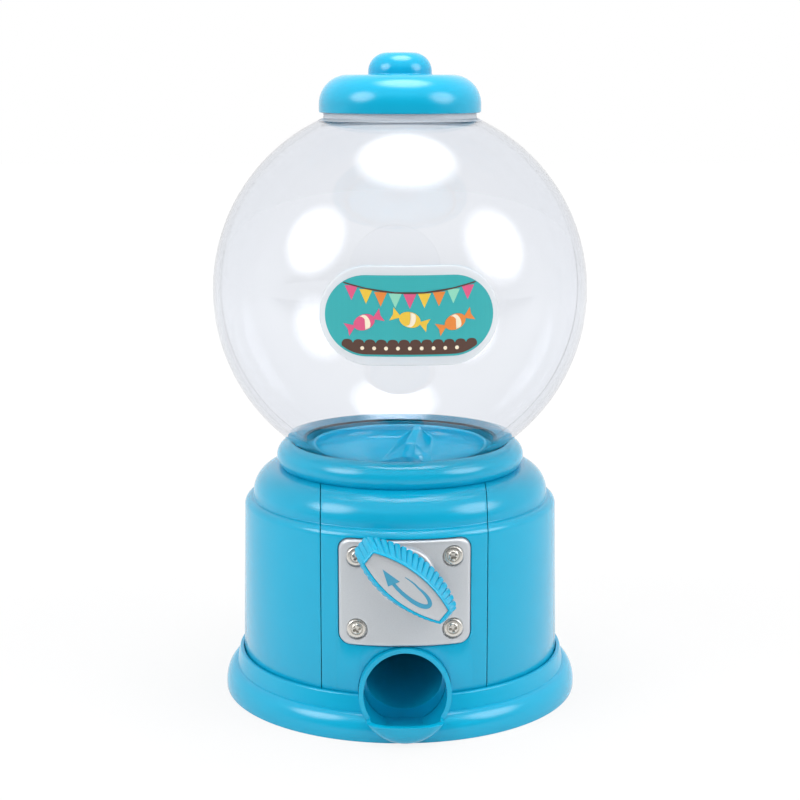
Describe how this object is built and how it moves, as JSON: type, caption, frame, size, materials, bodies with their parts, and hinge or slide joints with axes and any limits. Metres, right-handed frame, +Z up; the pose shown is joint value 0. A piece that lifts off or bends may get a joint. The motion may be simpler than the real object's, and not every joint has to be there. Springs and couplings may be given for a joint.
{
  "type": "gumball machine",
  "caption": "Small table-top sweet dispenser: clear globe with a lift-off cap on a round moulded base, a hand knob that turns a pocketed wheel, and a cupped outlet.",
  "frame": {"origin": "centre of the underside of the base, on the globe's axis, where the machine stands", "axes": "+Z up along the globe's axis; -Y is the front with the knob and outlet; +X is to the right seen from the front"},
  "size_m": [0.105, 0.1101, 0.1805],
  "materials": {
    "turquoise_abs": "glossy injection-moulded ABS, turquoise",
    "clear_styrene": "clear polished polystyrene",
    "silver_abs": "satin silver-coloured ABS",
    "nickel_steel": "nickel-plated steel",
    "label_film": "printed gloss film"
  },
  "bodies": {
    "machine": {"plinth": "turquoise_abs", "bottom_cover": "turquoise_abs", "bottom_screws": "nickel_steel", "rear_housing": "turquoise_abs", "front_panel": "turquoise_abs", "collar": "turquoise_abs", "collar_screws": "nickel_steel", "globe_front": "clear_styrene", "globe_rear": "clear_styrene", "label": "label_film", "hopper": "turquoise_abs", "wheel_housing": "turquoise_abs", "housing_screws": "nickel_steel", "chute": "turquoise_abs", "chute_screws": "nickel_steel", "outlet_spout": "turquoise_abs", "spout_screws": "nickel_steel", "face_plate": "silver_abs", "face_plate_screws": "nickel_steel"},
    "knob_group": {"knob": "turquoise_abs", "knob_face": "silver_abs", "dispensing_wheel": "turquoise_abs", "wheel_washer": "nickel_steel", "wheel_screw": "nickel_steel"},
    "lid": {"lid": "turquoise_abs"}
  },
  "joints": [
    {"name": "knob_turn", "type": "hinge", "parent": "machine", "child": "knob_group", "pos_m": [0, 0, 0.0451], "axis": [0, 1, 0], "continuous": true},
    {"name": "lid_lift", "type": "slide", "parent": "machine", "child": "lid", "axis": [0, 0, 1], "range_m": [0, 0.06]}
  ]
}
